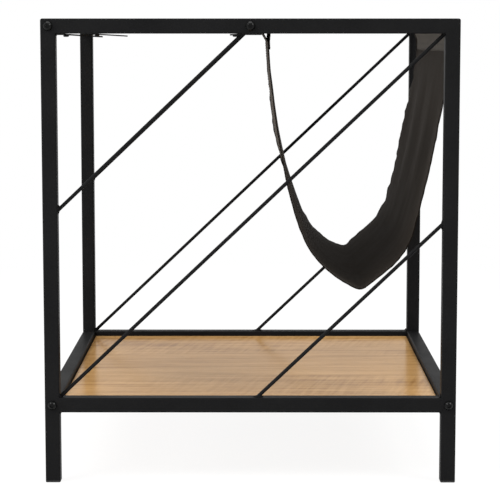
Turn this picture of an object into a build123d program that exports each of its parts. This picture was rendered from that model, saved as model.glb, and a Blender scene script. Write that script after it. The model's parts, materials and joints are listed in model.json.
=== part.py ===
from build123d import *
import math
import os

# Side table with a hanging sling for magazines. Sizes are in millimetres.
# X runs to the right, Y to the back and Z up. The origin is on the floor, under the frame's middle.

# Steel frame
WIDTH = 444.0
DEPTH = 444.0
HEIGHT = 500.0
TUBE = 16.0
TUBE_WALL = 1.0
TUBE_ROUND = 1.6
GROUND_ROUND = 2.4
SHELF_RAIL_BASE = 77.0
BRACE_DIAMETER = 4.0
BRACE_RISE = 203.0

# Plastic feet in the legs' lower ends, and the plate that closes each upper end
FOOT_SOLE = 2.0
FOOT_CHAMFER = 0.5
STEM_SIZE = 13.8
STEM_LENGTH = 12.0
STEM_TAPER = 2.0
LEG_TOP = 1.5

# Bolts from the two side frames into the tubes between them
BOLT_DIAMETER = 6.0
BOLT_HOLE = 6.5
BOLT_LENGTH = 28.0
HEAD_DIAMETER = 10.5
HEAD_HEIGHT = 3.3
HEAD_FLAT = 5.6
SOCKET_ACROSS = 4.0
SOCKET_DEPTH = 2.0
THREAD_DIAMETER = 6.2
PLUG_LENGTH = 14.0

# Wooden boards and what carries them
BOARD_THICKNESS = 10.0
BOARD_GAP = 1.0
BOARD_EDGE = 0.6
TAB_THICKNESS = 1.5
TAB_WIDTH = 20.0
TAB_HOLD = 8.0
TAB_BEND = 5.0
TAB_SLOPE = 0.06
TAB_CORNER = 5.0
TAB_HOLE = 4.2
TAB_HOLE_INSET = 8.0
SHELF_TAB_REACH = 17.0
SHELF_TAB_Y = 150.0
LEFT_TAB_REACH = 47.0
CENTRE_TAB_REACH = 14.0
CENTRE_TAB_HOLD = 20.0
TOP_TAB_Y = 188.0

# Bars that the sling hangs from
BAR_DIAMETER = 10.0
BAR_WALL = 1.0
BAR_SOCKET = 10.4
BAR_ENGAGEMENT = 10.0
LEFT_BAR_X = 16.0

# Sling: one piece of cloth with a loop sewn at each end, drawn as its middle line in X and Z
CLOTH = 1.6
SLING_DEPTH = 400.0
LEFT_DROP = [(18.0, 478.0), (31.5, 360.0), (62.0, 261.5), (112.0, 211.5)]
LEFT_LEAN = (0.05, -1.0)
LEFT_SWAY = [0.0, 0.5, 0.0, 0.0]
RIGHT_DROP = [
    (215.0, 477.0),
    (213.5, 455.0),
    (198.0, 361.0),
    (174.0, 268.0),
    (150.0, 233.0),
    (124.0, 212.0),
]
RIGHT_LEAN = (0.0, -1.0)
RIGHT_SWAY = [0.0, 0.0, 1.0, 0.0, 0.0, 0.0]
FLAP_LENGTH = 13.0
FLUTE_DEPTH = 1.5
FLUTES = 3

# Worked out from the sizes above
LEG_X = (WIDTH - TUBE) / 2
LEG_Y = (DEPTH - TUBE) / 2
INSIDE_X = WIDTH / 2 - TUBE
INSIDE_Y = DEPTH / 2 - TUBE
TOP_RAIL_BASE = HEIGHT - TUBE
TOP_RAIL_Z = TOP_RAIL_BASE + TUBE / 2
SHELF_RAIL_Z = SHELF_RAIL_BASE + TUBE / 2
SHELF_RAIL_TOP = SHELF_RAIL_BASE + TUBE
TUBE_BORE = TUBE - 2 * TUBE_WALL
RIGHT_BAR_X = LEG_X
SIDES = {"front": -1, "rear": 1}
HANDS = {"left": -1, "right": 1}


def square_tube(length):
    """Square tube along Z, centred on the origin."""
    outer = RectangleRounded(TUBE, TUBE, TUBE_ROUND)
    return extrude(outer - Rectangle(TUBE_BORE, TUBE_BORE), length / 2, both=True)


def bolt_hole(x, side, z):
    """Hole through both walls of a frame tube, front to back."""
    return Pos(x, side * LEG_Y, z) * Rot(90, 0, 0) * Cylinder(BOLT_HOLE / 2, 2 * TUBE)


def bar_hole(x, side):
    """Hole in the inner wall of a frame tube for the end of a sling bar."""
    return Pos(x, side * INSIDE_Y, TOP_RAIL_Z) * Rot(90, 0, 0) * Cylinder(BAR_SOCKET / 2, TUBE / 2)


def ground_corners():
    """The frame's outer block, its upper edges rounded as they were ground."""
    block = Pos(0, 0, HEIGHT / 2) * Box(WIDTH, DEPTH, HEIGHT)
    edges = block.faces().sort_by(Axis.Z)[-1].edges()
    return fillet(edges.filter_by(Axis.Y), GROUND_ROUND) & fillet(edges.filter_by(Axis.X), TUBE_ROUND)


def leg(hand, side):
    """Leg, its upper end closed by a plate that is welded in, ground flush and rounded outside.

    The left legs take a top bolt, the right ones the end of a sling bar.
    """
    x = hand * LEG_X
    length = HEIGHT - FOOT_SOLE
    outer = extrude(RectangleRounded(TUBE, TUBE, TUBE_ROUND), length)
    bore = extrude(Rectangle(TUBE_BORE, TUBE_BORE), length - LEG_TOP)
    tube = ground_corners() & (Pos(x, side * LEG_Y, FOOT_SOLE) * (outer - bore))
    tube -= bolt_hole(x, side, SHELF_RAIL_Z)
    if hand < 0:
        return tube - bolt_hole(x, side, TOP_RAIL_Z)
    return tube - bar_hole(RIGHT_BAR_X, side)


def frame_rail(side, z):
    """Rail from leg to leg in the front or rear frame."""
    return Pos(0, side * LEG_Y, z) * Rot(0, 90, 0) * square_tube(2 * INSIDE_X)


def top_rail(side):
    """Upper frame rail, bored for the centre tube's bolt and the left sling bar."""
    return frame_rail(side, TOP_RAIL_Z) - bolt_hole(0, side, TOP_RAIL_Z) - bar_hole(LEFT_BAR_X, side)


def cross_tube(x, z):
    """Tube from the front frame to the rear frame."""
    return Pos(x, 0, z) * Rot(90, 0, 0) * square_tube(2 * INSIDE_Y)


def brace(side, rise):
    """Wire brace parallel to the opening's diagonal, cut off flush with the tubes that it meets."""
    height = TOP_RAIL_BASE - SHELF_RAIL_TOP
    middle = (TOP_RAIL_BASE + SHELF_RAIL_TOP) / 2
    opening = Pos(0, side * LEG_Y, middle) * Box(2 * INSIDE_X, TUBE, height)
    slope = math.degrees(math.atan2(height, 2 * INSIDE_X))
    wire = Rot(0, 90 - slope, 0) * Cylinder(BRACE_DIAMETER / 2, 2 * (WIDTH + HEIGHT))
    return opening & (Pos(0, side * LEG_Y, middle + rise) * wire)


def foot_plug(hand, side):
    """Foot with a chamfered sole, and a tapered stem that goes up into the leg."""
    sole = extrude(RectangleRounded(TUBE, TUBE, TUBE_ROUND), FOOT_SOLE)
    sole = chamfer(sole.faces().sort_by(Axis.Z)[0].edges(), FOOT_CHAMFER)
    stem = extrude(Rectangle(STEM_SIZE, STEM_SIZE), STEM_LENGTH, taper=STEM_TAPER)
    return Pos(hand * LEG_X, side * LEG_Y, 0) * (sole + Pos(0, 0, FOOT_SOLE) * stem)


def frame_bolt(x, side, z):
    """Button-head bolt with a hexagon socket, its head on the frame's outer face."""
    shank = BOLT_DIAMETER / 2
    rim = HEAD_DIAMETER / 2
    outline = [
        Polyline((0, HEAD_HEIGHT), (0, -BOLT_LENGTH), (shank, -BOLT_LENGTH), (shank, 0), (rim, 0)),
        RadiusArc((rim, 0), (HEAD_FLAT / 2, HEAD_HEIGHT), -rim),
        Line((HEAD_FLAT / 2, HEAD_HEIGHT), (0, HEAD_HEIGHT)),
    ]
    body = revolve(make_face(outline), Axis.Y)
    hexagon = extrude(RegularPolygon(SOCKET_ACROSS / 2, 6, major_radius=False), SOCKET_DEPTH)
    body -= Pos(0, HEAD_HEIGHT, 0) * Rot(90, 0, 0) * hexagon
    turn = 0 if side > 0 else 180
    return Pos(x, side * DEPTH / 2, z) * Rot(0, 0, turn) * body


def end_plug(x, side, z):
    """Threaded plug pressed into the end of a cross tube."""
    section = Rectangle(TUBE_BORE, TUBE_BORE) - Circle(THREAD_DIAMETER / 2)
    block = extrude(section, PLUG_LENGTH / 2, both=True)
    return Pos(x, side * (INSIDE_Y - PLUG_LENGTH / 2), z) * Rot(90, 0, 0) * block


def board(left, right, base):
    """Board that lies inside its rails, with every edge broken."""
    width = right - left - 2 * BOARD_GAP
    depth = 2 * (INSIDE_Y - BOARD_GAP)
    slab = Box(width, depth, BOARD_THICKNESS)
    slab = chamfer(slab.edges(), BOARD_EDGE)
    return Pos((left + right) / 2, 0, base + BOARD_THICKNESS / 2) * slab


def support_tab(face_x, hand, hold, reach, y, base):
    """Plate welded under a rail to carry a board and its screw, its free end bent down a little."""
    droop = TAB_SLOPE * (reach - TAB_BEND)
    top = [(-hold, 0), (TAB_BEND, 0), (reach, -droop)]
    under = [(x, z - TAB_THICKNESS) for x, z in reversed(top)]
    bent = extrude(Plane.XZ * make_face(Polyline(*top, *under, close=True)), TAB_WIDTH / 2, both=True)
    plan = Pos((reach - hold) / 2, 0) * Rectangle(reach + hold, TAB_WIDTH)
    plan = chamfer(plan.vertices().group_by(Axis.X)[-1], TAB_CORNER)
    plan -= Pos(TAB_HOLE_INSET, 0) * Circle(TAB_HOLE / 2)
    turn = 0 if hand > 0 else 180
    return Pos(face_x, y, base) * Rot(0, 0, turn) * (bent & extrude(plan, TUBE, both=True))


def sling_bar(x):
    """Round bar whose ends rest in the holes of the two frames."""
    length = 2 * (INSIDE_Y + BAR_ENGAGEMENT)
    tube = Cylinder(BAR_DIAMETER / 2, length) - Cylinder(BAR_DIAMETER / 2 - BAR_WALL, length)
    return Pos(x, 0, TOP_RAIL_Z) * Rot(90, 0, 0) * tube


def hem(bar_x, seam, lean, inward):
    """Loop of cloth over a bar, closed at the seam, with the turned-in flap on the sling's inner side."""
    bar = Pos(bar_x, TOP_RAIL_Z)
    stitch = Pos(*seam)
    outside = make_hull((bar * Circle(BAR_DIAMETER / 2 + CLOTH)).edges() + (stitch * Circle(CLOTH)).edges())
    inside = make_hull((bar * Circle(BAR_DIAMETER / 2)).edges() + (stitch * Circle(CLOTH / 10)).edges())
    tilt = math.degrees(math.atan2(lean[0], -lean[1]))
    flap = Pos(inward * CLOTH / 2, -FLAP_LENGTH / 2) * Rectangle(CLOTH, FLAP_LENGTH)
    section = outside - inside + stitch * Rot(0, 0, tilt) * flap
    return extrude(Plane.XZ * section, SLING_DEPTH / 2, both=True)


def arc_run(points, lean, y):
    """Points of a hanging run of cloth in the plane at y, with the cloth's direction at each."""
    places = [Vector(x, y, z) for x, z in points]
    ways = [Vector(lean[0], 0, lean[1]).normalized()]
    for start, end in zip(places, places[1:]):
        ways.append(TangentArc(start, end, tangent=ways[-1]) % 1)
    return places, ways


def arc_side(places, ways, shift):
    """Tangent arcs beside a run of cloth, shifted sideways from its middle line."""
    beside = [p + Vector(-w.Z, 0, w.X) * shift for p, w in zip(places, ways)]
    arcs = [TangentArc(a, b, tangent=w) for a, b, w in zip(beside, beside[1:], ways)]
    return arcs, beside


def sling_section(y):
    """Closed outline of the hanging cloth at y: two runs that meet in a crease at the bottom."""
    flute = FLUTE_DEPTH * math.cos(2 * math.pi * FLUTES * y / SLING_DEPTH)
    left = arc_run([(x + flute * s, z) for (x, z), s in zip(LEFT_DROP, LEFT_SWAY)], LEFT_LEAN, y)
    right = arc_run([(x + flute * s, z) for (x, z), s in zip(RIGHT_DROP, RIGHT_SWAY)], RIGHT_LEAN, y)
    left_out, left_out_points = arc_side(*left, -CLOTH / 2)
    left_in, left_in_points = arc_side(*left, CLOTH / 2)
    right_out, right_out_points = arc_side(*right, CLOTH / 2)
    right_in, right_in_points = arc_side(*right, -CLOTH / 2)
    way = left[1][-1]
    edges = left_out
    edges = edges + [TangentArc(left_out_points[-1], right_out_points[-1], tangent=way)]
    edges = edges + right_out[::-1]
    edges = edges + [Line(right_out_points[0], right_in_points[0])]
    edges = edges + right_in
    edges = edges + [TangentArc(left_in_points[-1], right_in_points[-1], tangent=way)]
    edges = edges + left_in[::-1]
    edges = edges + [Line(left_in_points[0], left_out_points[0])]
    return make_face(edges)


def sling():
    """The whole cloth: a hanging sheet lofted from flute to flute, and the two hems."""
    count = 2 * FLUTES
    places = [SLING_DEPTH * (i / count - 0.5) for i in range(count + 1)]
    sheet = loft([sling_section(y) for y in places], ruled=True)
    sheet += hem(LEFT_BAR_X, LEFT_DROP[0], LEFT_LEAN, 1)
    return sheet + hem(RIGHT_BAR_X, RIGHT_DROP[0], RIGHT_LEAN, -1)


def bolt_places():
    """Where a cross tube is bolted to a frame: X and Z of each."""
    return [(-LEG_X, TOP_RAIL_Z), (0, TOP_RAIL_Z), (-LEG_X, SHELF_RAIL_Z), (LEG_X, SHELF_RAIL_Z)]


def tab_places(faces, y):
    """Tabs at the front and the back: the rail face's X, their reach's way, hold and reach, and Y."""
    return [(*face, place) for face in faces for place in (-y, y)]


def build():
    """Every piece under its name."""
    top_faces = [
        (-INSIDE_X, 1, TAB_HOLD, LEFT_TAB_REACH),
        (-TUBE / 2, -1, CENTRE_TAB_HOLD, CENTRE_TAB_REACH),
    ]
    shelf_faces = [(hand * INSIDE_X, -hand, TAB_HOLD, SHELF_TAB_REACH) for hand in HANDS.values()]
    pieces = {}
    for side_name, side in SIDES.items():
        for hand_name, hand in HANDS.items():
            pieces[f"{side_name}_{hand_name}_leg"] = leg(hand, side)
            pieces[f"{side_name}_{hand_name}_foot"] = foot_plug(hand, side)
        pieces[f"{side_name}_top_rail"] = top_rail(side)
        pieces[f"{side_name}_shelf_rail"] = frame_rail(side, SHELF_RAIL_Z)
        pieces[f"{side_name}_upper_brace"] = brace(side, BRACE_RISE)
        pieces[f"{side_name}_long_brace"] = brace(side, 0)
        pieces[f"{side_name}_lower_brace"] = brace(side, -BRACE_RISE)
        pieces[f"{side_name}_bolts"] = Compound([frame_bolt(x, side, z) for x, z in bolt_places()])
    pieces["left_top_rail"] = cross_tube(-LEG_X, TOP_RAIL_Z)
    pieces["centre_top_tube"] = cross_tube(0, TOP_RAIL_Z)
    pieces["left_shelf_rail"] = cross_tube(-LEG_X, SHELF_RAIL_Z)
    pieces["right_shelf_rail"] = cross_tube(LEG_X, SHELF_RAIL_Z)
    plugs = [end_plug(x, side, z) for x, z in bolt_places() for side in SIDES.values()]
    pieces["threaded_end_plugs"] = Compound(plugs)
    pieces["top_board"] = board(-INSIDE_X, -TUBE / 2, TOP_RAIL_BASE)
    pieces["top_board_tabs"] = Compound(
        [support_tab(*tab, TOP_RAIL_BASE) for tab in tab_places(top_faces, TOP_TAB_Y)]
    )
    pieces["shelf_board"] = board(-INSIDE_X, INSIDE_X, SHELF_RAIL_BASE)
    pieces["shelf_tabs"] = Compound(
        [support_tab(*tab, SHELF_RAIL_BASE) for tab in tab_places(shelf_faces, SHELF_TAB_Y)]
    )
    pieces["left_sling_bar"] = sling_bar(LEFT_BAR_X)
    pieces["right_sling_bar"] = sling_bar(RIGHT_BAR_X)
    pieces["sling"] = sling()
    return pieces


os.makedirs("parts", exist_ok=True)
for name, piece in build().items():
    export_step(piece, f"parts/{name}.step")
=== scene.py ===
# %% [markdown]
# # A side table with a hanging sling
# The object is a square-tube steel table, painted black. Two frames of tube and thin wire braces
# stand front and back, and tubes bolted between them keep them apart. A wooden shelf lies low inside, a
# second board covers the left half of the top, and a deep sling of suede-like cloth hangs from two bars
# in the right half. The steel, the boards and the bolts come from the CAD model at their real size.
# This lesson gives them their finishes, and makes what CAD leaves plain: the cloth and its stitches, the
# weld beads and the screws under the boards.

# %% Load the frame
import json
import math

import bmesh
import bpy
from mathutils import Matrix, Vector, noise


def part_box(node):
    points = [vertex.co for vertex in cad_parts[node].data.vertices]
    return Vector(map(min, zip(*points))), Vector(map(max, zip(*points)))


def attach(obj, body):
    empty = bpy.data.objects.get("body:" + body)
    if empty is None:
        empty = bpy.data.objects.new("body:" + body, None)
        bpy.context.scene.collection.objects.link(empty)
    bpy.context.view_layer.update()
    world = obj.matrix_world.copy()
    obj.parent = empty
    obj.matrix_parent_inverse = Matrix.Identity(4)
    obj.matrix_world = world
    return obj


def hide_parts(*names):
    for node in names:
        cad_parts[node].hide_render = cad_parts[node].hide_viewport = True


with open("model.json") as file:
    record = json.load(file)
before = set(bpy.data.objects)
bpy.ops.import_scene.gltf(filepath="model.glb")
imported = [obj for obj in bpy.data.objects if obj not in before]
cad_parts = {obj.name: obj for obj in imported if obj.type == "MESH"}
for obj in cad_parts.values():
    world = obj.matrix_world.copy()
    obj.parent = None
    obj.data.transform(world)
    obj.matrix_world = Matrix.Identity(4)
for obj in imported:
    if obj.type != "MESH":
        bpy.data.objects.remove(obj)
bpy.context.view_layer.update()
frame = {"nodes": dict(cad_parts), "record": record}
MM = 0.001
X_AXIS, Y_AXIS, Z_AXIS = Matrix.Identity(3)
scene = bpy.context.scene
scene.view_settings.view_transform = "Standard"

# %% [markdown]
# ## Camera
# The photograph was taken square on to the front frame, from about two metres away and level with the
# table's top. The place, the focal length and the tilt were fitted to the edges of the tubes. The
# optical axis lies a little above the middle of the picture, as in a cropped photograph, so the lens
# is shifted by the same share.

# %% Camera at the photograph's place
PHOTO_SIZE = 500
FOCAL_PIXELS = 1759.5
AXIS_ROW = 225.2
SENSOR = 36.0
EYE = Vector((3.6, -2088.8, 484.8)) * MM
TILT_DOWN = math.radians(6.237)
TURN_LEFT = math.radians(0.122)
FAR_CLIP = 50

lens = bpy.data.cameras.new("photo_camera")
lens.sensor_width = SENSOR
lens.lens = FOCAL_PIXELS * SENSOR / PHOTO_SIZE
lens.shift_y = (AXIS_ROW - PHOTO_SIZE / 2) / PHOTO_SIZE
lens.clip_end = FAR_CLIP
camera = bpy.data.objects.new("photo_camera", lens)
camera.location = EYE
camera.rotation_euler = (math.pi / 2 - TILT_DOWN, 0, TURN_LEFT)
scene.collection.objects.link(camera)
scene.camera = camera
print("lens", round(lens.lens, 1), "mm")

# %% [markdown]
# ## Shader helpers
# Materials are node trees, and a few small helpers keep their code short. The first adds a node with
# its settings, and the second feeds a socket with a value or with another node's output. The others
# make the sums, ranges and mixes, and then the groups and materials, that every finish needs.


# %% Node helpers
def add(tree, kind, inputs=None, **settings):
    """A new node. Inputs are values, or sockets to link from."""
    made = tree.nodes.new(kind)
    for key, value in settings.items():
        setattr(made, key, value)
    for key, value in (inputs or {}).items():
        feed(tree, made.inputs[key], value)
    return made


def feed(tree, socket, value):
    """Set a socket to a value, or link it from another node's output."""
    if isinstance(value, bpy.types.NodeSocket):
        tree.links.new(value, socket)
    else:
        socket.default_value = value


def combine(tree, operation, *values):
    """The sum, the product or another result of a few values."""
    return add(tree, "ShaderNodeMath", dict(enumerate(values)), operation=operation).outputs[0]


def spread(tree, value, span, low=0.0, high=1.0):
    """A value carried over from a span to the range from low to high, and kept inside it."""
    made = add(tree, "ShaderNodeMapRange", {
        "Value": value, "From Min": span[0], "From Max": span[1], "To Min": low, "To Max": high})
    return made.outputs["Result"]


def mix_colour(tree, share, first, second):
    """The colour between two others. The mix node's colour sockets are reached by number."""
    return add(tree, "ShaderNodeMix", {0: share, 6: first, 7: second}, data_type="RGBA").outputs[2]


def rgba(red, green, blue):
    """An opaque colour."""
    return (red, green, blue, 1.0)


print("node helpers", [helper.__name__ for helper in (add, feed, combine, spread, mix_colour, rgba)])

# %% Groups and materials
COLOUR = "NodeSocketColor"
VALUE = "NodeSocketFloat"
VECTOR = "NodeSocketVector"


def new_group(name, inputs, outputs):
    """An empty shader group with named sockets, and its two end nodes."""
    group = bpy.data.node_groups.new(name, "ShaderNodeTree")
    for end, sockets in (("INPUT", inputs), ("OUTPUT", outputs)):
        for label, kind in sockets.items():
            group.interface.new_socket(label, in_out=end, socket_type=kind)
    return group, add(group, "NodeGroupInput"), add(group, "NodeGroupOutput")


def new_material(name):
    """A material, its node tree and its Principled BSDF."""
    material = bpy.data.materials.new(name)
    material.use_nodes = True
    tree = material.node_tree
    return material, tree, tree.nodes["Principled BSDF"]


def finish_shader(tree, shader, colour, roughness, height, bump, constants):
    """Feed a shader's colour, roughness and relief, and set what is the same all over."""
    relief = add(tree, "ShaderNodeBump", {"Strength": bump[0], "Distance": bump[1], "Height": height})
    feed(tree, shader.inputs["Base Color"], colour)
    feed(tree, shader.inputs["Roughness"], roughness)
    feed(tree, shader.inputs["Normal"], relief.outputs["Normal"])
    for key, value in constants.items():
        shader.inputs[key].default_value = value


print("socket kinds", COLOUR, VALUE, VECTOR)

# %% [markdown]
# ## A shared finish: patches and grain
# Paint, plastic, plated steel and cloth all vary a little from place to place, and all have a fine
# grain. One shader group makes both: slow patches that move the colour and the gloss, and a fine grain
# that goes to the bump. Each material places it with its own scales and colours.

# %% Group: patched and grained surface
PATCH_DETAIL = 5.0
PATCH_ROUGHNESS = 0.6
GRAIN_DETAIL = 2.0
TONE_SPAN = (0.7, 1.3)
GLOSS_SPAN = (0.3, 0.7)


def make_patched_grain():
    """The group itself: colour, roughness and height from two noises."""
    group, given, result = new_group(
        "patched_grain",
        {"Vector": VECTOR, "Patch Scale": VALUE, "Grain Scale": VALUE, "Dark": COLOUR, "Light": COLOUR,
         "Smooth": VALUE, "Rough": VALUE},
        {"Color": COLOUR, "Roughness": VALUE, "Height": VALUE},
    )
    patches = add(group, "ShaderNodeTexNoise", {
        "Vector": given.outputs["Vector"], "Scale": given.outputs["Patch Scale"],
        "Detail": PATCH_DETAIL, "Roughness": PATCH_ROUGHNESS}).outputs["Fac"]
    grain = add(group, "ShaderNodeTexNoise", {
        "Vector": given.outputs["Vector"], "Scale": given.outputs["Grain Scale"],
        "Detail": GRAIN_DETAIL}).outputs["Fac"]
    share = spread(group, combine(group, "ADD", patches, grain), TONE_SPAN)
    colour = mix_colour(group, share, given.outputs["Dark"], given.outputs["Light"])
    gloss = spread(group, patches, GLOSS_SPAN, given.outputs["Smooth"], given.outputs["Rough"])
    feed(group, result.inputs["Color"], colour)
    feed(group, result.inputs["Roughness"], gloss)
    feed(group, result.inputs["Height"], grain)
    return group


patched_grain = make_patched_grain()
print("shared group", patched_grain.name)

# %% [markdown]
# ## Studio
# The product stands on a white ground. The camera, and anything glossy, sees a white floor and a white
# world at a strength of one. The object itself is lit at a plain level, by a dim world and four soft
# lamps: a key from the upper left, a fill from the upper right, a wide one overhead, and a low one from
# the left that reaches under the top. The low one is left out of reflections, or the shelf would mirror
# it as a bright patch. For the camera the floor glows and is lit a little as well, so it is white in
# the open and still keeps a pale shadow under the table.

# %% World
AMBIENT = 0.50


def background_rays(tree):
    """1 where a ray comes from the camera, or from gloss or glass that shows the background, else 0."""
    path = add(tree, "ShaderNodeLightPath")
    shown = combine(tree, "MAXIMUM", path.outputs["Is Camera Ray"], path.outputs["Is Glossy Ray"])
    return combine(tree, "MAXIMUM", shown, path.outputs["Is Transmission Ray"])


world = bpy.data.worlds.new("studio_world")
world.use_nodes = True
tree = world.node_tree
tree.nodes.clear()
strength = spread(tree, background_rays(tree), (0.0, 1.0), AMBIENT, 1.0)
sky = add(tree, "ShaderNodeBackground", {"Color": rgba(1, 1, 1), "Strength": strength})
add(tree, "ShaderNodeOutputWorld", {"Surface": sky.outputs[0]})
scene.world = world
print("world", AMBIENT, "as light")

# %% Floor
FLOOR_HALF = 6.0
FLOOR_BOUNCE = 0.75
FLOOR_LIT = 0.12
FLOOR_GLOW = 0.90
SHADOW_REACH = (0.6, 1.6)

floor_paint = bpy.data.materials.new("floor_paint")
floor_paint.use_nodes = True
tree = floor_paint.node_tree
tree.nodes.clear()
bounce = add(tree, "ShaderNodeBsdfDiffuse", {"Color": rgba(FLOOR_BOUNCE, FLOOR_BOUNCE, FLOOR_BOUNCE)})
lit = add(tree, "ShaderNodeBsdfDiffuse", {"Color": rgba(FLOOR_LIT, FLOOR_LIT, FLOOR_LIT)})
glow = add(tree, "ShaderNodeEmission", {"Strength": FLOOR_GLOW})
near = add(tree, "ShaderNodeAddShader", {0: lit.outputs[0], 1: glow.outputs[0]})
far = add(tree, "ShaderNodeEmission", {"Strength": 1.0})
place = add(tree, "ShaderNodeTexCoord").outputs["Object"]
distance = add(tree, "ShaderNodeVectorMath", {0: place}, operation="LENGTH").outputs["Value"]
shown = add(tree, "ShaderNodeMixShader", {
    0: spread(tree, distance, SHADOW_REACH), 1: near.outputs[0], 2: far.outputs[0]})
mixed = add(tree, "ShaderNodeMixShader", {
    0: background_rays(tree), 1: bounce.outputs[0], 2: shown.outputs[0]})
add(tree, "ShaderNodeOutputMaterial", {"Surface": mixed.outputs[0]})

ground = bmesh.new()
bmesh.ops.create_grid(ground, x_segments=1, y_segments=1, size=FLOOR_HALF)
floor_mesh = bpy.data.meshes.new("floor")
ground.to_mesh(floor_mesh)
ground.free()
floor_mesh.materials.append(floor_paint)
floor = bpy.data.objects.new("floor", floor_mesh)
scene.collection.objects.link(floor)
print("floor", 2 * FLOOR_HALF, "m across")

# %% Lamps
LAMPS = {
    "key": {"place": (-1.7, -1.3, 2.1), "size": 1.2, "watts": 45, "mirrored": True},
    "fill": {"place": (1.8, -1.0, 1.9), "size": 1.2, "watts": 42, "mirrored": True},
    "overhead": {"place": (0.0, 0.5, 2.6), "size": 2.0, "watts": 38, "mirrored": True},
    "low left": {"place": (-2.1, -0.5, 0.55), "size": 1.0, "watts": 40, "mirrored": False},
}
AIM = Vector((0, 0, 0.25))

for name, facts in LAMPS.items():
    lamp = bpy.data.lights.new(name, "AREA")
    lamp.size = facts["size"]
    lamp.energy = facts["watts"]
    holder = bpy.data.objects.new(name, lamp)
    holder.location = facts["place"]
    holder.rotation_euler = (AIM - holder.location).to_track_quat("-Z", "Y").to_euler()
    holder.visible_glossy = facts["mirrored"]
    scene.collection.objects.link(holder)
print("lamps", list(LAMPS))

# %% [markdown]
# ## Finishes
# The frame has a satin black powder coat: nearly black, with the faint orange peel that baked powder
# leaves. It reflects little square on and much more at a glancing angle, which is why the rails' top
# faces look grey in the photograph. The bolts and screws are black oxide, much glossier than the paint.
# The feet are moulded plastic, and the plugs in the tubes are zinc-plated steel. All of them use the
# shared group.


# %% Painted, plated and moulded finishes
def grained_finish(name, values, bump, constants):
    """The shared group, a bump from its grain, and constants on the shader's own sockets."""
    material, tree, shader = new_material(name)
    place = add(tree, "ShaderNodeTexCoord").outputs["Object"]
    grain = add(tree, "ShaderNodeGroup", {"Vector": place, **values}, node_tree=patched_grain).outputs
    finish_shader(tree, shader, grain["Color"], grain["Roughness"], grain["Height"], bump, constants)
    return material


powder_coat = grained_finish(
    "black_powder_coat",
    {"Patch Scale": 14.0, "Grain Scale": 900.0, "Smooth": 0.40, "Rough": 0.50,
     "Dark": rgba(0.0074, 0.0074, 0.0076), "Light": rgba(0.0116, 0.0116, 0.0119)},
    (0.25, 0.15 * MM),
    {"Specular IOR Level": 0.02},
)
black_oxide = grained_finish(
    "black_oxide_bolts",
    {"Patch Scale": 120.0, "Grain Scale": 2500.0, "Smooth": 0.10, "Rough": 0.16,
     "Dark": rgba(0.003, 0.003, 0.003), "Light": rgba(0.006, 0.006, 0.006)},
    (0.15, 0.05 * MM),
    {"Specular IOR Level": 0.12},
)
foot_plastic = grained_finish(
    "foot_plastic",
    {"Patch Scale": 60.0, "Grain Scale": 1800.0, "Smooth": 0.55, "Rough": 0.68,
     "Dark": rgba(0.010, 0.010, 0.010), "Light": rgba(0.017, 0.017, 0.017)},
    (0.3, 0.08 * MM),
    {"Specular IOR Level": 0.4},
)
zinc_plate = grained_finish(
    "zinc_plate",
    {"Patch Scale": 150.0, "Grain Scale": 2200.0, "Smooth": 0.28, "Rough": 0.42,
     "Dark": rgba(0.42, 0.42, 0.43), "Light": rgba(0.60, 0.60, 0.62)},
    (0.2, 0.05 * MM),
    {"Metallic": 1.0},
)
print("finishes", powder_coat.name, black_oxide.name, foot_plastic.name, zinc_plate.name)

# %% [markdown]
# ## Oak decor
# The boards wear a printed, rough-sawn oak. Slow clouds of tone, darker growth lines, fine fibres and
# short pores all run with the grain, so each is a noise stretched along it. Across the grain lie the
# faint slanted strokes of a saw: a noise stretched the other way, which shows only in some bands. A
# board seen from so low mirrors the white ground, and the rear legs show in it as soft darker smears,
# so it keeps a satin gloss. The grain runs from side to side on the shelf and along the longer side of
# the top board, so the pattern is turned with a Mapping node.

# %% Oak tones and layers
OAK_PALE = rgba(0.528, 0.319, 0.132)
OAK_MID = rgba(0.400, 0.227, 0.084)
OAK_DEEP = rgba(0.229, 0.114, 0.035)
OAK_PORE = rgba(0.180, 0.086, 0.028)
MID_STOP = 0.55
# Each layer has its cells per metre along and across the grain, and its noise's detail.
OAK_LAYERS = {
    "cloud": (2.4, 12.0, 3.0),
    "growth": (6.0, 120.0, 4.0),
    "fibres": (16.0, 700.0, 3.0),
    "pores": (80.0, 1500.0, 1.0),
    "saw": (190.0, 12.0, 1.0),
    "bands": (2.0, 17.0, 1.0),
}
LAYER_ROUGHNESS = 0.6
SAW_SLANT = math.radians(14)
SAWN_SPAN = (0.44, 0.60)
STROKE_SPAN = (0.35, 0.65)
TONE_WEIGHTS = {"cloud": 0.42, "growth": 0.72, "fibres": 0.40, "marks": 0.05}
OAK_SPAN = (0.55, 0.99)
PORE_SPAN = (0.60, 0.72)
PORE_SHARE = 0.55
OAK_GLOSS = (0.15, 0.21)
GROOVE_WEIGHTS = {"pores": -1.0, "saw": 0.3}
OAK_BUMP = (0.2, 0.08 * MM)
OAK_SHADER = {"Specular IOR Level": 0.022}
print("oak layers", list(OAK_LAYERS))


# %% Oak decor
def stretched_noise(tree, place, cells, detail):
    """Noise with its own number of cells per metre in each direction."""
    mapped = add(tree, "ShaderNodeMapping", {"Vector": place, "Scale": cells}).outputs["Vector"]
    return add(tree, "ShaderNodeTexNoise", {
        "Vector": mapped, "Scale": 1.0, "Detail": detail, "Roughness": LAYER_ROUGHNESS}).outputs["Fac"]


def weighted_sum(tree, layers, weights):
    """The sum of several layers, each with its weight."""
    total = 0.0
    for layer, weight in weights.items():
        total = combine(tree, "MULTIPLY_ADD", layers[layer], weight, total)
    return total


def turned_place(tree, place, angle):
    """Coordinates turned about Z."""
    return add(tree, "ShaderNodeMapping", {"Vector": place, "Rotation": (0, 0, angle)}).outputs["Vector"]


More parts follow.
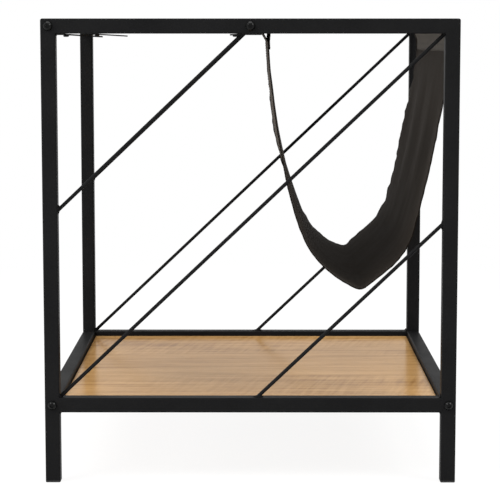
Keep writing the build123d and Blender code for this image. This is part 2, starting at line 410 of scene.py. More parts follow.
def make_oak(name, turn):
    """Oak whose grain runs along X, turned about Z."""
    material, tree, shader = new_material(name)
    place = turned_place(tree, add(tree, "ShaderNodeTexCoord").outputs["Object"], turn)
    slanted = turned_place(tree, place, SAW_SLANT)
    layers = {}
    for layer, (lengthwise, crosswise, detail) in OAK_LAYERS.items():
        start = slanted if layer == "saw" else place
        layers[layer] = stretched_noise(tree, start, (lengthwise, crosswise, crosswise), detail)
    strokes = spread(tree, layers["saw"], STROKE_SPAN, -1.0, 1.0)
    layers["marks"] = combine(tree, "MULTIPLY", strokes, spread(tree, layers["bands"], SAWN_SPAN))

    tone = weighted_sum(tree, layers, TONE_WEIGHTS)
    ramp = add(tree, "ShaderNodeValToRGB", {"Fac": spread(tree, tone, OAK_SPAN)})
    ramp.color_ramp.elements[0].color = OAK_PALE
    ramp.color_ramp.elements[1].color = OAK_DEEP
    ramp.color_ramp.elements.new(MID_STOP).color = OAK_MID
    pore = spread(tree, layers["pores"], PORE_SPAN, 0.0, PORE_SHARE)
    colour = mix_colour(tree, pore, ramp.outputs["Color"], OAK_PORE)
    gloss = spread(tree, layers["fibres"], GLOSS_SPAN, *OAK_GLOSS)
    grooves = weighted_sum(tree, layers, GROOVE_WEIGHTS)
    finish_shader(tree, shader, colour, gloss, grooves, OAK_BUMP, OAK_SHADER)
    return material


shelf_oak = make_oak("shelf_oak", 0.0)
top_oak = make_oak("top_oak", math.pi / 2)
print("boards", shelf_oak.name, top_oak.name)

# %% [markdown]
# ## Suede-like cloth and its thread
# The sling is a brushed cloth with a short nap. The nap lies in soft blotches, with faint streaks down
# the hanging length where it was brushed, and it catches light at a glancing angle, which the sheen
# gives. Its outer face is a little paler than the inner one, which shows where the flap is turned over,
# but its tone is set much paler still: that part is painted light, for the side light on the left
# strand's outer face. The pattern follows the cloth's own map, measured in metres, so that it does not
# slide over the folds.

# %% Suede cloth and thread
INNER_NAP = (rgba(0.0036, 0.0025, 0.0017), rgba(0.0080, 0.0058, 0.0041))
# The outer tone is partly the cloth's paler back and partly painted light: the side light on the left
# strand's outer face.
OUTER_NAP_AND_PAINTED_LIGHT = (rgba(0.0340, 0.0302, 0.0264), rgba(0.0625, 0.0562, 0.0494))
NAP_GRAIN = {"Patch Scale": 26.0, "Grain Scale": 1700.0, "Smooth": 0.88, "Rough": 0.97}
NAP_BUMP = (0.04, 0.05 * MM)
NAP_SHADER = {"Specular IOR Level": 0.05, "Sheen Weight": 0.06, "Sheen Roughness": 0.45,
              "Sheen Tint": rgba(0.62, 0.53, 0.45)}
BRUSH_CELLS = (85.0, 7.0, 1.0)
BRUSH_DETAIL = 3.0
STREAK_SPAN = (0.35, 0.7)
STREAK_SHARE = 0.45


def make_suede(name, dark, light):
    """Brushed cloth between a dark and a light tone."""
    material, tree, shader = new_material(name)
    flat = add(tree, "ShaderNodeTexCoord").outputs["UV"]
    values = {"Vector": flat, "Dark": dark, "Light": light, **NAP_GRAIN}
    nap = add(tree, "ShaderNodeGroup", values, node_tree=patched_grain).outputs
    brushed = stretched_noise(tree, flat, BRUSH_CELLS, BRUSH_DETAIL)
    streak = spread(tree, brushed, STREAK_SPAN, 0.0, STREAK_SHARE)
    colour = mix_colour(tree, streak, nap["Color"], light)
    finish_shader(tree, shader, colour, nap["Roughness"], nap["Height"], NAP_BUMP, NAP_SHADER)
    return material


suede_inside = make_suede("suede_inside", *INNER_NAP)
# The outer face's material: the cloth's paler back, with painted light for the side light on the left
# strand.
suede_outside_painted_light = make_suede("suede_outside_painted_light", *OUTER_NAP_AND_PAINTED_LIGHT)
thread = grained_finish(
    "sewing_thread",
    {"Patch Scale": 400.0, "Grain Scale": 4000.0, "Smooth": 0.60, "Rough": 0.75,
     "Dark": rgba(0.008, 0.007, 0.006), "Light": rgba(0.020, 0.018, 0.016)},
    (0.3, 0.05 * MM),
    {"Specular IOR Level": 0.25},
)
print("cloth", suede_inside.name, suede_outside_painted_light.name, thread.name)

# %% Put the finishes on the CAD pieces
FINISHES = {
    "black_frame": powder_coat,
    "black_bolt": black_oxide,
    "foot_plastic": foot_plastic,
    "zinc_steel": zinc_plate,
    "oak_decor": shelf_oak,
    "suede_cloth": suede_inside,
}
for part in frame["record"]["subparts"]:
    node = frame["nodes"][part["node"]]
    node.data.materials.clear()
    node.data.materials.append(FINISHES[part["material_slot"]])
frame["nodes"]["top_board"].data.materials[0] = top_oak
print(len(frame["nodes"]), "CAD pieces finished")

# %% [markdown]
# ## Making a new piece
# Each new piece is shaped in a bmesh, in metres and in place, and then becomes an object at the origin
# that rides on the table's one body.

# %% Helpers for new pieces
BODY = "root"
VERT = bmesh.types.BMVert
EDGE = bmesh.types.BMEdge


def new_piece(name, bm, material):
    """Turn a bmesh into a piece of the object, and say what it rides on."""
    mesh = bpy.data.meshes.new(name)
    bm.to_mesh(mesh)
    bm.free()
    mesh.materials.append(material)
    mesh.shade_smooth()
    piece = bpy.data.objects.new(name, mesh)
    scene.collection.objects.link(piece)
    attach(piece, BODY)
    print(name, len(mesh.polygons), "faces")
    return piece


def only(geometry, kind):
    """The vertices or the edges among what an operator made."""
    return [part for part in geometry if isinstance(part, kind)]


print("new pieces ride on", BODY)

# %% [markdown]
# ## The sling
# One strip of cloth is sewn into a loop over each bar and hangs between them in a deep U with a crease
# at the bottom. The strip could be draped by a simulation, but the photograph shows its hanging line
# clearly, so the line is followed instead: a few points of it in X and Z are joined by a chain of
# tangent arcs. The long edges of the strip are hemmed, so it is cut wider than it hangs.

# %% The hanging line in X and Z
CLOTH = 0.55 * MM
SLACK = 0.15 * MM
ROW_STEP = 3.4 * MM
LAYER = 1.05 * CLOTH
LEFT_FLAP = 10.5 * MM
RIGHT_FLAP = 14.5 * MM
LEFT_DROP = [Vector(p) * MM for p in ((19.4, 475.0), (33.2, 360.0), (62.7, 261.5), (114.5, 209.6))]
LEFT_LEAN = Vector((0.05, -1.0)).normalized()
RIGHT_DROP = [Vector(p) * MM for p in (
    (215.0, 477.0), (213.5, 455.0), (198.0, 361.0), (174.0, 268.0), (150.0, 232.3), (124.0, 210.4))]
RIGHT_LEAN = Vector((0.0, -1.0))
print("bottom of the sling at", [round(p / MM, 1) for p in LEFT_DROP[-1]], "mm")

# %% The strip's width
SLING_WIDTH = 400 * MM
ACROSS = 116
HEM_WIDTH = 9 * MM
FOLD = 1.12 * CLOTH
# Each vertex of a hem, from the fold on: how far it lies above the cloth, and how far beyond its edge.
HEM_FOLDS = [(0.5 * FOLD, 0.5 * FOLD), (FOLD, 0.0)]
HEM_FOLDS += [(FOLD, -HEM_WIDTH * share) for share in (1 / 3, 2 / 3, 1)]
HEM_VERTS = len(HEM_FOLDS)
TURNED_IN = math.pi * FOLD / 2 + HEM_WIDTH
CUT_WIDTH = SLING_WIDTH + 2 * TURNED_IN
print("strip", round(SLING_WIDTH, 4), "m wide, cut", round(CUT_WIDTH, 4), "m wide")

# %% [markdown]
# The strip grows as an upholsterer lays a pattern along a curve: a row of vertices across it is spun
# along one straight or one arc after another. A small class keeps the last row, its place and its
# direction, so that each arc starts where the one before it ended.


# %% Directions in X and Z
def turned(way, angle):
    """A direction in X and Z, turned from X towards Z."""
    return Vector((way.x * math.cos(angle) - way.y * math.sin(angle),
                   way.x * math.sin(angle) + way.y * math.cos(angle)))


def turn_between(first, second):
    """The angle from one direction to another, from X towards Z."""
    return math.atan2(first.x * second.y - first.y * second.x, first.dot(second))


print("left strand leans", round(math.degrees(turn_between(RIGHT_LEAN, LEFT_LEAN)), 1), "degrees")


# %% A growing edge of cloth
class ClothEdge:
    """The growing edge of a strip of cloth: its last row of vertices, its place and its direction."""

    def __init__(self, bm, place, way):
        self.bm = bm
        self.place = place
        self.way = way
        self.run = 0.0
        self.rows = []
        self.runs = []
        corner = bmesh.ops.create_vert(bm, co=(place.x, -CUT_WIDTH / 2, place.y))["vert"][0]
        line = bmesh.ops.spin(bm, geom=[corner], cent=(0, 0, 0), axis=(0, 0, 1), angle=0,
                              dvec=(0, SLING_WIDTH / ACROSS, 0), steps=ACROSS + 2 * HEM_VERTS)
        verts = [corner]
        edges = []
        while verts[-1] is not line["geom_last"][0]:
            edges.append([e for e in verts[-1].link_edges if e not in edges][0])
            verts.append(edges[-1].other_vert(verts[-1]))
        for i, vert in enumerate(verts):
            vert.co.y = self.flat_place(i - HEM_VERTS)
        self.keep(verts + edges)

    @staticmethod
    def flat_place(index):
        """Where a vertex lies across the cut strip: even in the middle, closer in the hems."""
        inside = min(max(index, 0), ACROSS)
        beyond = abs(index - inside)
        step = TURNED_IN / HEM_VERTS
        return (inside / ACROSS - 0.5) * SLING_WIDTH + math.copysign(beyond * step, index - inside)

    def keep(self, geometry):
        """Remember a new row, sorted from front to back."""
        self.last = geometry
        self.rows.append(sorted(only(geometry, VERT), key=lambda v: v.co.y))
        self.runs.append(self.run)

    def step(self, centre, angle, shift, length):
        """One more row: the last one turned about a line along Y, or shifted."""
        made = bmesh.ops.spin(self.bm, geom=self.last, cent=(centre.x, 0, centre.y), axis=(0, -1, 0),
                              angle=angle, dvec=(shift.x, 0, shift.y), steps=1)
        self.run += length
        self.keep(made["geom_last"])

    def straight(self, length):
        """Rows along the present direction."""
        count = max(1, math.ceil(length / ROW_STEP))
        for _ in range(count):
            self.step(self.place, 0.0, self.way * (length / count), length / count)
        self.place = self.place + self.way * length

    def bend(self, centre, angle):
        """Rows along an arc about a centre."""
        length = abs(angle) * (self.place - centre).length
        count = max(2, math.ceil(length / ROW_STEP))
        for _ in range(count):
            self.step(centre, angle / count, Vector((0, 0)), length / count)
        self.place = centre + turned(self.place - centre, angle)
        self.way = turned(self.way, angle)

    def reach(self, end):
        """An arc that leaves along the present direction and ends at a given point."""
        chord = end - self.place
        off = turn_between(self.way, chord)
        radius = chord.length / (2 * math.sin(off))
        self.bend(self.place + turned(self.way, math.pi / 2) * radius, 2 * off)


print("a row has", ACROSS + 2 * HEM_VERTS + 1, "vertices")

# %% [markdown]
# Each half starts at the turned-in flap, goes up to its bar, over it, and down to the bottom, where the
# halves are joined.


# %% The two halves
def hang_half(bm, bar, drop, lean, inward, flap):
    """Half a sling: flap, loop over the bar, and the drop to the bottom."""
    low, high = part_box(bar)
    centre = Vector(((low.x + high.x) / 2, (low.z + high.z) / 2))
    radius = (high.z - low.z) / 2 + CLOTH / 2 + SLACK
    seam = drop[0]
    inner_seam = seam + turned(lean, inward * math.pi / 2) * LAYER
    edge = ClothEdge(bm, inner_seam + lean * flap, -lean)
    edge.straight(flap)
    edge.flap_end = len(edge.rows)

    to_bar = centre - inner_seam
    edge.way = turned(to_bar.normalized(), -inward * math.asin(radius / to_bar.length))
    edge.straight(math.sqrt(to_bar.length ** 2 - radius ** 2))

    back = centre - seam
    down = -turned(back.normalized(), inward * math.asin(radius / back.length))
    over = inward * (inward * turn_between(edge.way, down) % (2 * math.pi))
    edge.bend(centre, over)
    edge.way = down
    edge.straight(math.sqrt(back.length ** 2 - radius ** 2))
    edge.loop_end = len(edge.rows)

    edge.way = lean
    for point in drop[1:]:
        edge.reach(point)
    return edge


cloth = bmesh.new()
along = cloth.verts.layers.float.new("along")
flat_map = cloth.loops.layers.uv.new("flat")
left_edge = hang_half(cloth, "left_sling_bar", LEFT_DROP, LEFT_LEAN, 1, LEFT_FLAP)
right_edge = hang_half(cloth, "right_sling_bar", RIGHT_DROP, RIGHT_LEAN, -1, RIGHT_FLAP)
left_edge.reach(RIGHT_DROP[-1])
CUT_LENGTH = left_edge.run + right_edge.run
print("cut", round(CUT_WIDTH, 4), "by", round(CUT_LENGTH, 4), "m")
print(len(left_edge.rows), "rows on the left,", len(right_edge.rows), "on the right")

# %% [markdown]
# The map of the cloth is its place on the flat strip, in metres: across along Y, and along the run from
# one flap to the other. The two bottom rows lie on each other and are welded. A vertex a little below
# the left loop then tells on which side the mesh's normals point.

# %% Flat map, and the halves joined
ROWS_BELOW_LOOP = 5

right_marks = [CUT_LENGTH - run for run in right_edge.runs]
for edge, marks in ((left_edge, left_edge.runs), (right_edge, right_marks)):
    for row, mark in zip(edge.rows, marks):
        for vert in row:
            vert[along] = mark
for face in cloth.faces:
    for loop in face.loops:
        loop[flat_map].uv = (loop.vert.co.y, loop.vert[along])
bmesh.ops.weld_verts(cloth, targetmap=dict(zip(right_edge.rows.pop(), left_edge.rows[-1])))
bmesh.ops.recalc_face_normals(cloth, faces=cloth.faces)
probe = left_edge.rows[left_edge.loop_end + ROWS_BELOW_LOOP][ACROSS // 2]
OUTER = 1 if probe.normal.x < 0 else -1
print("joined", len(cloth.faces), "faces, outer side", OUTER)

# %% [markdown]
# Real cloth is never a clean extrusion. Three shallow flutes run down the strands, the free edges wave
# a little and ripple along the hem, and the stitching draws small puckers into the cloth under each
# loop. The left strand also turns a little about its length: high up its front edge swings inwards,
# and lower down it swings back out. All of this fades out at the loops, so that the layers there stay
# clear of each other and of the bars. The flaps were not cut quite square: in the photograph their
# ends rise towards the front.

# %% Waves and ripples
WAVE_DEPTH = 0.9 * MM
FINE_SHARE = 0.4
EDGE_WAVE = 1.3 * MM
EDGE_REACH = 40 * MM
FRONT_RIPPLE = 0.6 * MM
REAR_RIPPLE = 1.7 * MM
RIPPLE_REACH = 16 * MM
# Each noise has its cells per metre across and along the cloth, and a level of its own.
SLOW_NOISE = (14, 9, 3.7)
FINE_NOISE = (38, 22, 9.1)
FLUTTER_NOISE = (4, 16, 21.3)
# Each ripple runs on a line of its own at either edge: the line, cells per metre, level and share.
RIPPLES = ((5, 75, 33.9, 1.0), (9, 125, 47.2, 0.8))


def fade(value, start, end):
    """0 at start, 1 at end, smooth between them."""
    share = min(1.0, max(0.0, (value - start) / (end - start)))
    return share * share * (3 - 2 * share)


def hump(value, low, top, high):
    """0 at low and high, 1 at top."""
    return fade(value, low, top) if value < top else fade(value, high, top)


def cloth_noise(vert, crosswise, lengthwise, level):
    """Noise over the flat cloth."""
    return noise.noise(Vector((vert.co.y * crosswise, vert[along] * lengthwise, level)))


def wave(vert):
    """How far the cloth stands out of its plain hanging line."""
    across = vert.co.y
    inside = SLING_WIDTH / 2 - abs(across)
    body_wave = WAVE_DEPTH * (cloth_noise(vert, *SLOW_NOISE) + FINE_SHARE * cloth_noise(vert, *FINE_NOISE))
    edge_wave = EDGE_WAVE * cloth_noise(vert, *FLUTTER_NOISE) * fade(inside, EDGE_REACH, 0)
    ripple = 0.0
    for line, cells, level, share in RIPPLES:
        ripple += share * noise.noise(Vector((math.copysign(line, across), vert[along] * cells, level)))
    ripple *= REAR_RIPPLE if across > 0 else FRONT_RIPPLE
    return body_wave + edge_wave + ripple * fade(inside, RIPPLE_REACH, 0)


print("edges ripple by", round(FRONT_RIPPLE, 4), "m in front and", round(REAR_RIPPLE, 4), "m behind")

# %% Puckers under the stitching
PUCKER_DEPTH = 0.22 * MM
PUCKER_PITCH = 11 * MM
PUCKER_REACH = 16 * MM
PUCKER_DRIFT = 5
DRIFT_CELLS = 20
FLAP_END = RIGHT_DROP[0].y - RIGHT_FLAP


def pucker(vert):
    """Small gathers under the stitching, the same on both layers."""
    across, height = vert.co.y, vert.co.z
    share = fade(height, FLAP_END - PUCKER_REACH, FLAP_END) * fade(height, LEFT_DROP[0].y, FLAP_END)
    drift = PUCKER_DRIFT * noise.noise(Vector((across * DRIFT_CELLS, 0, 0)))
    return PUCKER_DEPTH * share * math.sin(2 * math.pi * across / PUCKER_PITCH + drift)


print("puckers", round(SLING_WIDTH / PUCKER_PITCH), "across the sling")

# %% Flutes and twist, and all of it laid on the cloth
FLUTES = 3
LEFT_FLUTE = 2.2 * MM
RIGHT_FLUTE = 1.5 * MM
LEFT_SPAN = (235 * MM, 310 * MM, 425 * MM)
RIGHT_SPAN = (268 * MM, 361 * MM, 455 * MM)
TWIST = 1.2 * MM
TWIST_SPAN = (315 * MM, 365 * MM, 475 * MM)
LOW_TWIST = 2.2 * MM
LOW_TWIST_SPAN = (213 * MM, 256 * MM, 335 * MM)
CALM_REACH = 40 * MM
FLAP_SKEW = 2.6 * MM

moves = {}
for edge, depth, span, twisted in (
        (left_edge, LEFT_FLUTE, LEFT_SPAN, 1), (right_edge, RIGHT_FLUTE, RIGHT_SPAN, 0)):
    for row in edge.rows:
        for vert in row:
            across, height = vert.co.y / SLING_WIDTH, vert.co.z
            flute = depth * math.cos(2 * math.pi * FLUTES * across) * hump(height, *span)
            twist = LOW_TWIST * hump(height, *LOW_TWIST_SPAN) - TWIST * hump(height, *TWIST_SPAN)
            turn_in = 2 * twisted * twist * across
            calm = fade(height, FLAP_END, FLAP_END - CALM_REACH)
            sway = calm * (flute + turn_in) + pucker(vert)
            moves[vert] = vert.normal * (calm * wave(vert)) + X_AXIS * sway
    for i, row in enumerate(edge.rows[:edge.flap_end]):
        for vert in row:
            below_seam = 1 - edge.runs[i] / edge.runs[edge.flap_end - 1]
            moves[vert] += Z_AXIS * (FLAP_SKEW * below_seam * (0.5 - vert.co.y / SLING_WIDTH))
for vert, move in moves.items():
    vert.co += move
cloth.normal_update()
print("waved", len(moves), "vertices")

# %% [markdown]
# The long edges of the strip are hemmed: the cloth is folded once to the outer side and stitched down.
# That is why the near edge looks twice as thick as the cloth in the photograph. The strip was cut wider
# for it, and its outermost vertices now go round a tight fold and back over the cloth.

# %% Edge hems
for row in left_edge.rows + right_edge.rows:
    front = (-1, row[HEM_VERTS], row[HEM_VERTS - 1::-1])
    rear = (1, row[-1 - HEM_VERTS], row[-HEM_VERTS:])
    for side, rim, outside in (front, rear):
        rise = rim.normal * OUTER
        rim_place = rim.co.copy()
        for vert, (lift, reach) in zip(outside, HEM_FOLDS):
            vert.co = rim_place + rise * lift + Vector((0, side * reach, 0))
cloth.normal_update()
print("hems", round(HEM_WIDTH, 4), "m wide on", len(left_edge.rows + right_edge.rows), "rows")

# %% [markdown]
# ## Stitches
# Two rows of stitches close each loop, and one runs along each hem. A stitch is a short thread that dips
# into the cloth at both ends, so a slim ellipsoid, half sunk, is enough. There are hundreds of them, so
# each has few faces. They sit on the cloth's own vertices, on both of its faces.

# %% One stitch, and a row of them
THREAD_RADIUS = 0.26 * MM
THREAD_RISE = 0.17 * MM
THREAD_SIDES = 4
THREAD_RINGS = 6


def add_stitch(bm, place, way, rise, length):
    """One stitch lying along a direction, half sunk in the face below it."""
    side = rise.cross(way)
    turn = Matrix((way, side, rise)).transposed().to_4x4()
    size = Matrix.Diagonal((length, THREAD_RADIUS, THREAD_RISE, 1))
    laid = Matrix.Translation(place) @ turn @ size @ Matrix.Rotation(math.pi / 2, 4, "Y")
    bmesh.ops.create_uvsphere(bm, u_segments=THREAD_SIDES, v_segments=THREAD_RINGS, radius=1, matrix=laid)


def stitch_row(bm, stitches):
    """Add a row of stitches. It is made apart, because operators are slow in a large mesh."""
    row = bmesh.new()
    for place, way, rise, length in stitches:
        add_stitch(row, place, way, rise, length)
    mesh = bpy.data.meshes.new("stitch_row")
    row.to_mesh(mesh)
    row.free()
    bm.from_mesh(mesh)
    bpy.data.meshes.remove(mesh)


print("thread", round(2 * THREAD_RADIUS / MM, 2), "mm thick")

# %% Stitches on the loops and hems
STITCH_FILL = 0.40
LOOP_STITCH_RUNS = (3.0 * MM, 7.5 * MM)
SEAM_ROWS = 12
HEM_STITCH_INDEX = 2


def row_height(row):
    """The height of a row at its middle."""
    return row[len(row) // 2].co.z


def stitch_loop(bm, edge):
    """Rows of stitches across a loop's seam, on the flap and on the strand behind it."""
    length = STITCH_FILL * SLING_WIDTH / ACROSS
    strand = edge.rows[edge.loop_end:edge.loop_end + SEAM_ROWS]
    for run in LOOP_STITCH_RUNS:
        flap_row = min(zip(edge.runs, edge.rows), key=lambda pair: abs(pair[0] - run))[1]
        height = row_height(flap_row)
        strand_row = min(strand, key=lambda row: abs(row_height(row) - height))
        for row in (flap_row, strand_row):
            stitches = []
            for vert in row[HEM_VERTS + 1:-HEM_VERTS - 1]:
                rise = vert.normal * OUTER
                way = (Y_AXIS - rise * rise.y).normalized()
                stitches.append((vert.co + rise * (CLOTH / 2), way, rise, length))
            stitch_row(bm, stitches)


def stitch_hems(bm, edge):
    """A row of stitches along each hem, on the hem and on the cloth's inner face."""
    for near in (HEM_VERTS + HEM_STITCH_INDEX, -1 - HEM_VERTS - HEM_STITCH_INDEX):
        line = [row[near] for row in edge.rows]
        outer_row = []
        inner_row = []
        for i in range(1, len(line) - 1):
            vert = line[i]
            way = line[i + 1].co - line[i - 1].co
            length = STITCH_FILL * way.length / 2
            way.normalize()
            rise = (vert.normal - way * vert.normal.dot(way)).normalized() * OUTER
            outer_row.append((vert.co + rise * (FOLD + CLOTH / 2), way, rise, length))
            if i > edge.loop_end:
                inner_row.append((vert.co - rise * (CLOTH / 2), way, -rise, length))
        stitch_row(bm, outer_row)
        stitch_row(bm, inner_row)


loop_thread = bmesh.new()
hem_thread = bmesh.new()
for edge in (left_edge, right_edge):
    stitch_loop(loop_thread, edge)
    stitch_hems(hem_thread, edge)
loop_stitches = new_piece("loop_stitches", loop_thread, thread)
hem_stitches = new_piece("hem_stitches", hem_thread, thread)

# %% [markdown]
# The cloth so far has no thickness. A Solidify modifier gives it one, and puts the second material on
# the other side, so that the two faces of the cloth have their own tones; the outer face's tone carries
# painted light as well.

# %% The sling as a piece
face_up, face_down = (suede_outside_painted_light, suede_inside) if OUTER > 0 else (suede_inside, suede_outside_painted_light)
sling = new_piece("sling_cloth", cloth, face_up)
sling.data.materials.append(face_down)
thickness = sling.modifiers.new("thickness", "SOLIDIFY")
thickness.thickness = CLOTH
thickness.offset = 0
thickness.material_offset = 1
thickness.material_offset_rim = 1
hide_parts("sling")
print("sling of cloth", round(CLOTH / MM, 2), "mm thick")

# %% [markdown]
# ## Weld beads
# The tubes of each frame are welded. A bead in an inside corner is a small ridged fillet: a four-sided
# section is drawn along the corner step by step, and every second step is a little larger, which leaves
# the ripples of the weld pool.

# %% Beads in the tubes' corners
BEAD = 2.0 * MM
BEAD_BULGE = 0.60
RIPPLE = 0.10
RIPPLE_PITCH = 1.1 * MM


def join_up(bm, places, closed=True):
    """Vertices at the given places, joined in turn by edges."""
    verts = [bmesh.ops.create_vert(bm, co=place)["vert"][0] for place in places]
    following = verts[1:] + verts[:1] if closed else verts[1:]
    edges = [bmesh.ops.contextual_create(bm, geom=pair)["edges"][0] for pair in zip(verts, following)]
    return verts, edges


def line_bead(bm, start, end, first, second):
    """A rippled bead in an inside corner, between two walls: the ways in which they leave it are given."""
    section = [Vector((0, 0, 0)), first, (first + second) * BEAD_BULGE, second]
    verts, edges = join_up(bm, [start + place * BEAD for place in section])
    bmesh.ops.contextual_create(bm, geom=edges)
    count = round((end - start).length / RIPPLE_PITCH)
    step = (end - start) / count
    last = verts + edges
    for i in range(1, count + 1):
        made = bmesh.ops.spin(bm, geom=last, cent=start, axis=Y_AXIS, angle=0, dvec=step, steps=1)
        last = made["geom_last"]
        moved = only(last, VERT)
        swell = 1 + RIPPLE if i % 2 else 1 / (1 + RIPPLE)
        bmesh.ops.scale(bm, verts=moved, vec=(swell, 1, swell), space=Matrix.Translation(-start))
    bmesh.ops.contextual_create(bm, geom=only(last, EDGE))


def frame_corners(side):
    """Inside corners between the rails and legs of one frame: both ends, and the two walls' directions."""
    for rail, heights in (("top", (-1,)), ("shelf", (-1, 1))):
        low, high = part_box(f"{side}_{rail}_rail")
        for hand, x in ((1, low.x), (-1, high.x)):
            for up in heights:
                z = low.z if up < 0 else high.z
                yield Vector((x, low.y, z)), Vector((x, high.y, z)), X_AXIS * hand, Z_AXIS * up


beads = bmesh.new()
inset = Y_AXIS * BEAD
for side in ("front", "rear"):
    for start, end, along_rail, up_leg in frame_corners(side):
        line_bead(beads, start + inset, end - inset, along_rail, up_leg)
bmesh.ops.recalc_face_normals(beads, faces=beads.faces)
new_piece("frame_weld_beads", beads, powder_coat)

# %% [markdown]
# On the outer faces the joints were ground flush before painting, so no seam shows there. The tubes'
# rounded edges would leave a groove at each joint. A short slice of the rail's own section, pushed into
# the leg, fills it, as the weld does on the real frame.

# %% Joints ground flush
SLICE_OUTSIDE = 0.6 * MM
SLICE_INSIDE = 1.9 * MM
PROUD = 0.02 * MM
TUBE_ROUND = 1.6 * MM
ROUND_STEPS = 5
SHARP_ANGLE = math.radians(35)


def joint_slice(bm, low, high, hand):
    """A slice of a rail's outer section, from just outside the leg to just inside it."""
    centre = Vector((0, (low.y + high.y) / 2, (low.z + high.z) / 2))
    side = high.z - low.z + 2 * PROUD
    square = bmesh.ops.create_grid(bm, x_segments=1, y_segments=1, size=side / 2)["verts"]
    edges = {e for v in square for e in v.link_edges}
    rounded = bmesh.ops.bevel(bm, geom=square, offset=TUBE_ROUND, offset_type="OFFSET", affect="VERTICES",
                              segments=ROUND_STEPS, profile=0.5, material=-1)
    verts = list(set(rounded["verts"]) | {v for e in edges if e.is_valid for v in e.verts})
    bmesh.ops.rotate(bm, verts=verts, cent=(0, 0, 0), matrix=Matrix.Rotation(math.pi / 2, 3, "Y"))
    end = low.x if hand < 0 else high.x
    bmesh.ops.translate(bm, verts=verts, vec=centre + X_AXIS * (end - hand * SLICE_OUTSIDE))
    face = verts[0].link_faces[0]
    made = bmesh.ops.extrude_face_region(bm, geom=[face])["geom"]
    bmesh.ops.translate(bm, verts=only(made, VERT), vec=X_AXIS * (hand * (SLICE_OUTSIDE + SLICE_INSIDE)))


slices = bmesh.new()
for side in ("front", "rear"):
    for rail in ("top", "shelf"):
        low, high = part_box(f"{side}_{rail}_rail")
        joint_slice(slices, low, high, -1)
        joint_slice(slices, low, high, 1)
bmesh.ops.recalc_face_normals(slices, faces=slices.faces)
ground_joints = new_piece("ground_joints", slices, powder_coat)
ground_joints.data.set_sharp_from_angle(angle=SHARP_ANGLE)

# %% [markdown]
# The wires are welded all round. The bead's section is spun about the wall's normal, which makes a ring,
# and the ring is then sheared and stretched until it leans over with the wire. The long wire ends in a
# corner, where the frame's own bead holds it.

# %% Beads round the wires' ends
WIRE_BEAD = 1.9 * MM
RING_LAP = 0.4 * MM
RING_SHOULDER = (0.55, 0.60)
RING_STEPS = 28
RING_RIPPLES = 7


def ring_bead(bm, place, wall, wire, radius):
    """A rippled bead round a wire that meets a wall at a slant."""
    inside = radius - RING_LAP
    shoulder = (radius + RING_SHOULDER[0] * WIRE_BEAD, RING_SHOULDER[1] * WIRE_BEAD)
    section = [(inside, 0), (radius + WIRE_BEAD, 0), shoulder, (inside, WIRE_BEAD)]
    before = set(bm.verts)
    verts, edges = join_up(bm, [(x, 0, z) for x, z in section])
    bmesh.ops.spin(bm, geom=verts + edges, cent=(0, 0, 0), axis=(0, 0, 1), angle=2 * math.pi,
                   steps=RING_STEPS, use_merge=True)
    fresh = [v for v in bm.verts if v not in before]
    for vert in fresh:
        angle = math.atan2(vert.co.y, vert.co.x)
        out = math.hypot(vert.co.x, vert.co.y) - radius
        swell = 1 + RIPPLE * math.cos(RING_RIPPLES * angle) * max(0.0, out) / WIRE_BEAD
        vert.co = Vector((vert.co.x * swell, vert.co.y * swell, vert.co.z))
    rise = wire.dot(wall)
    slope = wire - wall * rise
    lean = slope.normalized()
    turn = Matrix((lean / rise, wall.cross(lean), wall + slope / rise)).transposed().to_4x4()
    bmesh.ops.transform(bm, matrix=Matrix.Translation(place) @ turn, verts=fresh)


rings = bmesh.new()
for side in ("front", "rear"):
    low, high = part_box(f"{side}_long_brace")
    wire = Vector((high.x - low.x, 0, high.z - low.z)).normalized()
    radius = (high.y - low.y) / 2
    y = (low.y + high.y) / 2
    upper_low, upper_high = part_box(f"{side}_upper_brace")
    lower_low, lower_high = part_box(f"{side}_lower_brace")
    on_leg = radius / wire.x
    on_rail = radius / wire.z
    ring_bead(rings, Vector((upper_low.x, y, upper_low.z + on_leg)), X_AXIS, wire, radius)
    ring_bead(rings, Vector((upper_high.x - on_rail, y, upper_high.z)), -Z_AXIS, -wire, radius)
    ring_bead(rings, Vector((lower_low.x + on_rail, y, lower_low.z)), Z_AXIS, wire, radius)
    ring_bead(rings, Vector((lower_high.x, y, lower_high.z - on_leg)), -X_AXIS, -wire, radius)
bmesh.ops.recalc_face_normals(rings, faces=rings.faces)
new_piece("wire_weld_beads", rings, powder_coat)

# %% [markdown]
# ## Screws under the boards
# A black pan-head screw goes up through each tab into its board. Only the head can be seen, from below.
# It is a lathe shape: half its outline is spun about the axis. The cross recess is cut by filling the
# ring between the head's flat and a cross, and extruding the cross inwards.

# %% One screw
HEAD_RADIUS = 3.2 * MM
HEAD_HEIGHT = 1.8 * MM
HEAD_FLAT = 2.1 * MM
HEAD_SHOULDER = 0.8 * MM
HEAD_CURVE = (0.88 * HEAD_RADIUS, -0.80 * HEAD_HEIGHT)
SHANK_RADIUS = 1.9 * MM
SHANK_RISE = 1.0 * MM
CROSS_REACH = 1.6 * MM
CROSS_WIDTH = 0.42 * MM
CROSS_DEPTH = 1.1 * MM
SCREW_STEPS = 24


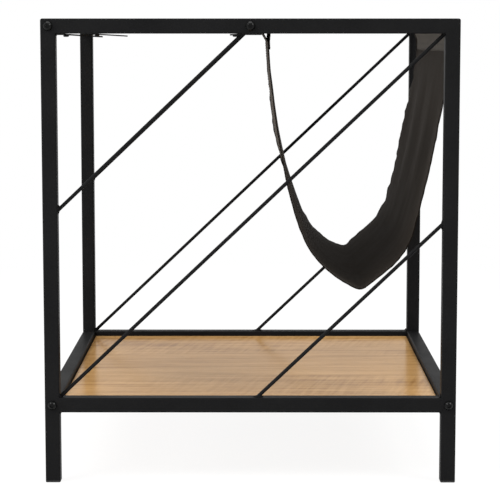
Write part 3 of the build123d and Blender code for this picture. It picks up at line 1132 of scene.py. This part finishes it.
def add_screw(bm, place, turn):
    """One screw whose head hangs below a tab: place is the middle of its hole, on the tab's underside."""
    outline = [(SHANK_RADIUS, SHANK_RISE), (SHANK_RADIUS, 0), (HEAD_RADIUS, 0),
               (HEAD_RADIUS, -HEAD_SHOULDER), HEAD_CURVE, (HEAD_FLAT, -HEAD_HEIGHT)]
    before = set(bm.verts)
    chain, links = join_up(bm, [(x, 0, z) for x, z in outline], closed=False)
    bmesh.ops.spin(bm, geom=chain + links, cent=(0, 0, 0), axis=(0, 0, 1), angle=2 * math.pi,
                   steps=SCREW_STEPS, use_merge=True)
    open_edges = [e for e in bm.edges if e.is_boundary and e.verts[0] not in before]
    rim = [e for e in open_edges if e.verts[0].co.z < 0]
    bmesh.ops.contextual_create(bm, geom=[e for e in open_edges if e.verts[0].co.z > 0])

    arm, half = CROSS_REACH, CROSS_WIDTH
    corners = [(half, half), (half, arm), (-half, arm), (-half, half), (-arm, half), (-arm, -half),
               (-half, -half), (-half, -arm), (half, -arm), (half, -half), (arm, -half), (arm, half)]
    cross, cross_edges = join_up(bm, [(x, y, -HEAD_HEIGHT) for x, y in corners])
    bmesh.ops.triangle_fill(bm, edges=rim + cross_edges, use_beauty=True, normal=(0, 0, -1))
    walls = bmesh.ops.extrude_edge_only(bm, edges=cross_edges)["geom"]
    floor_edges = [e for e in only(walls, EDGE) if all(v not in cross for v in e.verts)]
    bmesh.ops.translate(bm, verts=only(walls, VERT), vec=(0, 0, CROSS_DEPTH))
    bmesh.ops.contextual_create(bm, geom=floor_edges)
    fresh = [v for v in bm.verts if v not in before]
    bmesh.ops.transform(bm, matrix=Matrix.Translation(place) @ Matrix.Rotation(turn, 4, "Z"), verts=fresh)


print("screw head", round(2 * HEAD_RADIUS / MM, 1), "mm across")

# %% Screws in their tabs
TAB_HOLE_INSET = 8 * MM
TAB_HOLE_SIDE = 10 * MM
TAB_THICKNESS = 1.5 * MM
TAB_DIP = 0.18 * MM
TAB_HOLD = 8 * MM
CENTRE_TAB_HOLD = 20 * MM
TAB_HOLDS = {"top_board_tabs": (TAB_HOLD, CENTRE_TAB_HOLD), "shelf_tabs": (TAB_HOLD, TAB_HOLD)}
SCREW_TURN = 40.0

screws = bmesh.new()
for tabs, (left_hold, right_hold) in TAB_HOLDS.items():
    low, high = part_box(tabs)
    under_tab = high.z - TAB_THICKNESS - TAB_DIP
    for x in (low.x + left_hold + TAB_HOLE_INSET, high.x - right_hold - TAB_HOLE_INSET):
        for y in (low.y + TAB_HOLE_SIDE, high.y - TAB_HOLE_SIDE):
            add_screw(screws, Vector((x, y, under_tab)), SCREW_TURN * (x + 2 * y))
bmesh.ops.recalc_face_normals(screws, faces=screws.faces)
board_screws = new_piece("board_screws", screws, black_oxide)
board_screws.data.set_sharp_from_angle(angle=SHARP_ANGLE)
